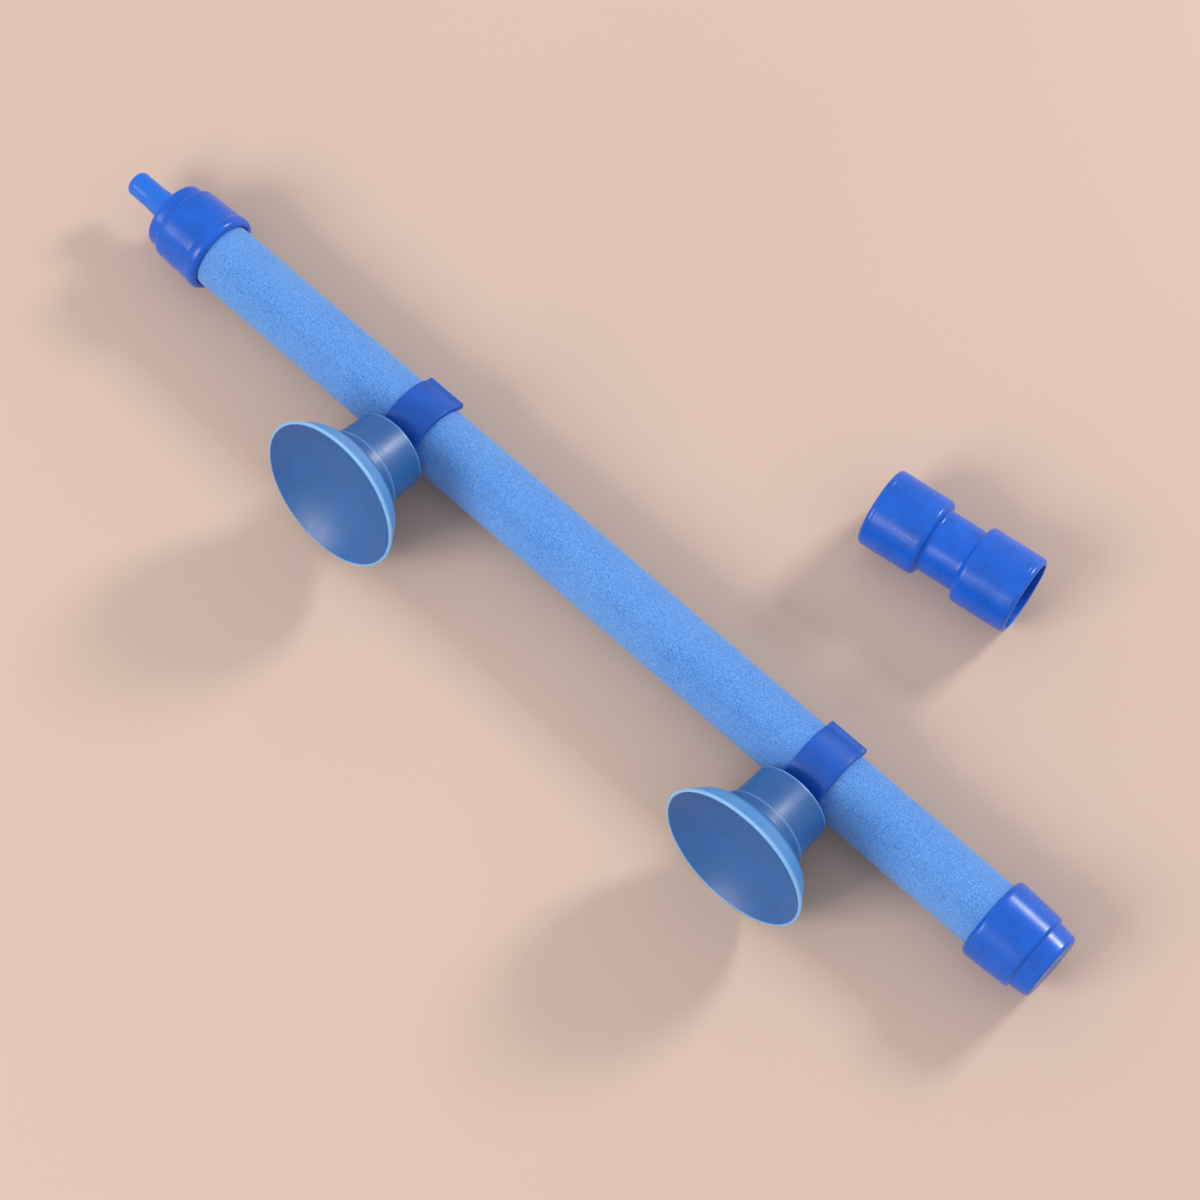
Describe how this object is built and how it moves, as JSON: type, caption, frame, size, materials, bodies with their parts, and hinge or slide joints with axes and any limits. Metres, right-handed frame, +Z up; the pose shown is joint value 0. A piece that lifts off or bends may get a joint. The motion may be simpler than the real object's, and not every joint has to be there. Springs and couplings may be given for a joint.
{
  "type": "air stone",
  "caption": "Porous stone bar with push-on end caps, a hose nipple, clip-on holders with suction cups, and a loose straight connector.",
  "frame": {"origin": "the table under the middle of everything that lies on it: bar, cups and loose connector", "axes": "+X along the bar from the hose nipple to the closed tail, +Y away from the suction cups, +Z up"},
  "size_m": [0.2232, 0.0835, 0.0308],
  "materials": {
    "stone": "fine-grained sintered mineral, dyed mid blue, matt and porous",
    "plastic": "moulded royal-blue plastic, glossy",
    "soft_vinyl": "soft clear-blue vinyl, satin gloss, slightly see-through"
  },
  "bodies": {
    "bar": {"stone": "stone"},
    "inlet_cap": {"inlet_cap": "plastic"},
    "tail_cap": {"tail_cap": "plastic"},
    "clip_inlet": {"clip_inlet": "plastic"},
    "clip_tail": {"clip_tail": "plastic"},
    "cup_inlet": {"cup_inlet": "soft_vinyl"},
    "cup_tail": {"cup_tail": "soft_vinyl"},
    "connector": {"connector": "plastic"}
  },
  "joints": [
    {"name": "inlet_cap_pull", "type": "slide", "parent": "bar", "child": "inlet_cap", "axis": [-1, 0, 0], "range_m": [0, 0.02]},
    {"name": "tail_cap_pull", "type": "slide", "parent": "bar", "child": "tail_cap", "axis": [1, 0, 0], "range_m": [0, 0.02]},
    {"name": "clip_inlet_slide", "type": "slide", "parent": "bar", "child": "clip_inlet", "axis": [1, 0, 0], "range_m": [-0.046, 0.033]},
    {"name": "clip_tail_slide", "type": "slide", "parent": "bar", "child": "clip_tail", "axis": [1, 0, 0], "range_m": [-0.033, 0.032]},
    {"name": "cup_inlet_spin", "type": "hinge", "parent": "clip_inlet", "child": "cup_inlet", "pos_m": [-0.03725, -0.0252, 0.01257], "axis": [0, -0.9277, 0.3732], "continuous": true},
    {"name": "cup_tail_spin", "type": "hinge", "parent": "clip_tail", "child": "cup_tail", "pos_m": [0.05965, -0.02563, 0.0113], "axis": [0, -0.9626, 0.2709], "continuous": true},
    {"name": "connector_lift", "type": "slide", "parent": "bar", "child": "connector", "axis": [0, 0, 1], "range_m": [0, 0.05]}
  ]
}
